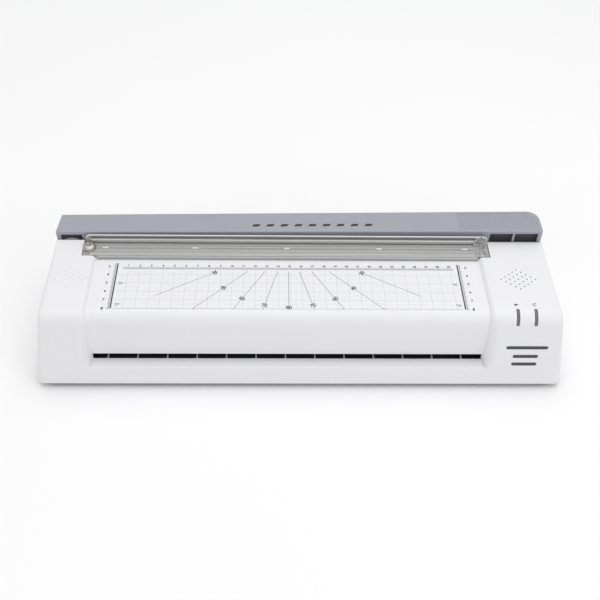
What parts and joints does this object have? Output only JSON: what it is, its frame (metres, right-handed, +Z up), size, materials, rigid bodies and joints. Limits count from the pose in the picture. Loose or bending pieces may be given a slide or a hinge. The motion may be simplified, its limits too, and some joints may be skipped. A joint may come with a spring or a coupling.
{
  "type": "pouch laminator",
  "caption": "Wide desktop pouch laminator with white cover, grey tray, printed cutting bed, clear paper guard and a hinged grey trimmer arm.",
  "frame": {"origin": "middle of the footprint, at the underside of the feet", "axes": "+Z up, +X along the machine to its right end, +Y to the back, from the exit slot to the feed slot"},
  "size_m": [0.457, 0.1448, 0.0912],
  "materials": {
    "white_shell": "fine moulded texture",
    "grey_plastic": "fine moulded texture",
    "tray_plastic": "fine moulded texture",
    "black_plastic": "satin",
    "rubber_foot": "matt",
    "roller_rubber": "matt silicone",
    "nylon": "satin",
    "clear_plastic": "clear, slightly frosted",
    "light_pipe": "smoked translucent",
    "blade_steel": "ground",
    "plated_steel": "zinc plated",
    "heater_aluminium": "mill finish",
    "circuit_board": "solder mask"
  },
  "bodies": {
    "base": {"top_cover": "white_shell", "pivot_bracket": "white_shell", "bottom_tray": "tray_plastic", "lower_exit_guide": "black_plastic", "upper_exit_guide": "black_plastic", "lower_entry_guide": "black_plastic", "upper_entry_guide": "black_plastic", "switch_body": "black_plastic", "cord_gland": "black_plastic", "thermostat": "black_plastic", "foot_1": "rubber_foot", "foot_2": "rubber_foot", "foot_3": "rubber_foot", "foot_4": "rubber_foot", "left_bush": "nylon", "right_bush": "nylon", "ready_light_pipe": "light_pipe", "power_light_pipe": "light_pipe", "ready_led": "light_pipe", "power_led": "light_pipe", "bed_knife": "blade_steel", "cover_screw_1": "plated_steel", "cover_screw_2": "plated_steel", "cover_screw_3": "plated_steel", "cover_screw_4": "plated_steel", "guard_screw": "plated_steel", "guard_spring_1": "plated_steel", "guard_spring_2": "plated_steel", "left_side_plate": "plated_steel", "right_side_plate": "plated_steel", "gear_plate": "plated_steel", "front_stay": "plated_steel", "rear_stay": "plated_steel", "idler_axle": "plated_steel", "drive_motor": "plated_steel", "left_pressure_spring": "plated_steel", "right_pressure_spring": "plated_steel", "lever_pin": "plated_steel", "upper_heater_plate": "heater_aluminium", "lower_heater_plate": "heater_aluminium", "control_board": "circuit_board"},
    "cutter_arm": {"cutter_arm": "grey_plastic", "arm_blade": "blade_steel", "blade_screw_1": "plated_steel", "blade_screw_2": "plated_steel", "pivot_pin": "plated_steel"},
    "paper_guard": {"clear_guard": "clear_plastic"},
    "pressure_carriage": {"left_carrier": "black_plastic", "right_carrier": "black_plastic", "lift_bar": "plated_steel"},
    "lower_roller": {"lower_roller_shaft": "plated_steel", "lower_roller_sleeve": "roller_rubber", "lower_roller_gear": "nylon"},
    "upper_roller": {"upper_roller_shaft": "plated_steel", "upper_roller_sleeve": "roller_rubber", "upper_roller_gear": "nylon"},
    "idler": {"idler_gear": "nylon"},
    "pinion": {"motor_pinion": "nylon"},
    "release_lever": {"release_lever": "black_plastic"},
    "power_rocker": {"power_rocker": "tray_plastic"}
  },
  "joints": [
    {"name": "arm_hinge", "type": "hinge", "parent": "base", "child": "cutter_arm", "pos_m": [-0.2046, 0.046, 0.0745], "axis": [0, -1, 0], "range_deg": [-0.77, 55]},
    {"name": "guard_press", "type": "slide", "parent": "base", "child": "paper_guard", "axis": [0, 0, -1], "range_m": [0, 0.0006], "stiffness_N_per_m": 1500, "springref_m": -0.0006, "deforming": ["guard_spring_1", "guard_spring_2"]},
    {"name": "release_hinge", "type": "hinge", "parent": "base", "child": "release_lever", "pos_m": [-0.199, -0.003, 0.0423], "axis": [-1, 0, 0], "range_deg": [0, 8]},
    {"name": "carriage_lift", "type": "slide", "parent": "base", "child": "pressure_carriage", "axis": [0, 0, 1], "range_m": [0, 0.00147], "deforming": ["left_pressure_spring", "right_pressure_spring"]},
    {"name": "lower_roller_spin", "type": "hinge", "parent": "base", "child": "lower_roller", "pos_m": [0, -0.028, 0.01705], "axis": [1, 0, 0], "continuous": true},
    {"name": "upper_roller_spin", "type": "hinge", "parent": "pressure_carriage", "child": "upper_roller", "pos_m": [0, -0.028, 0.03735], "axis": [1, 0, 0], "continuous": true},
    {"name": "idler_spin", "type": "hinge", "parent": "base", "child": "idler", "pos_m": [0.171, -0.00679, 0.02394], "axis": [1, 0, 0], "continuous": true},
    {"name": "pinion_spin", "type": "hinge", "parent": "base", "child": "pinion", "pos_m": [0.171, 0.01153, 0.03268], "axis": [1, 0, 0], "continuous": true},
    {"name": "rocker_hinge", "type": "hinge", "parent": "base", "child": "power_rocker", "pos_m": [0.19, 0.06536, 0.04585], "axis": [1, 0, 0], "range_deg": [0, 16]}
  ],
  "couplings": [
    {"joint": "release_hinge", "follows": "carriage_lift", "rad_per_m": 95.238},
    {"joint": "upper_roller_spin", "follows": "lower_roller_spin", "ratio": -1},
    {"joint": "idler_spin", "follows": "lower_roller_spin", "ratio": -0.83333},
    {"joint": "pinion_spin", "follows": "lower_roller_spin", "ratio": 1.25}
  ]
}
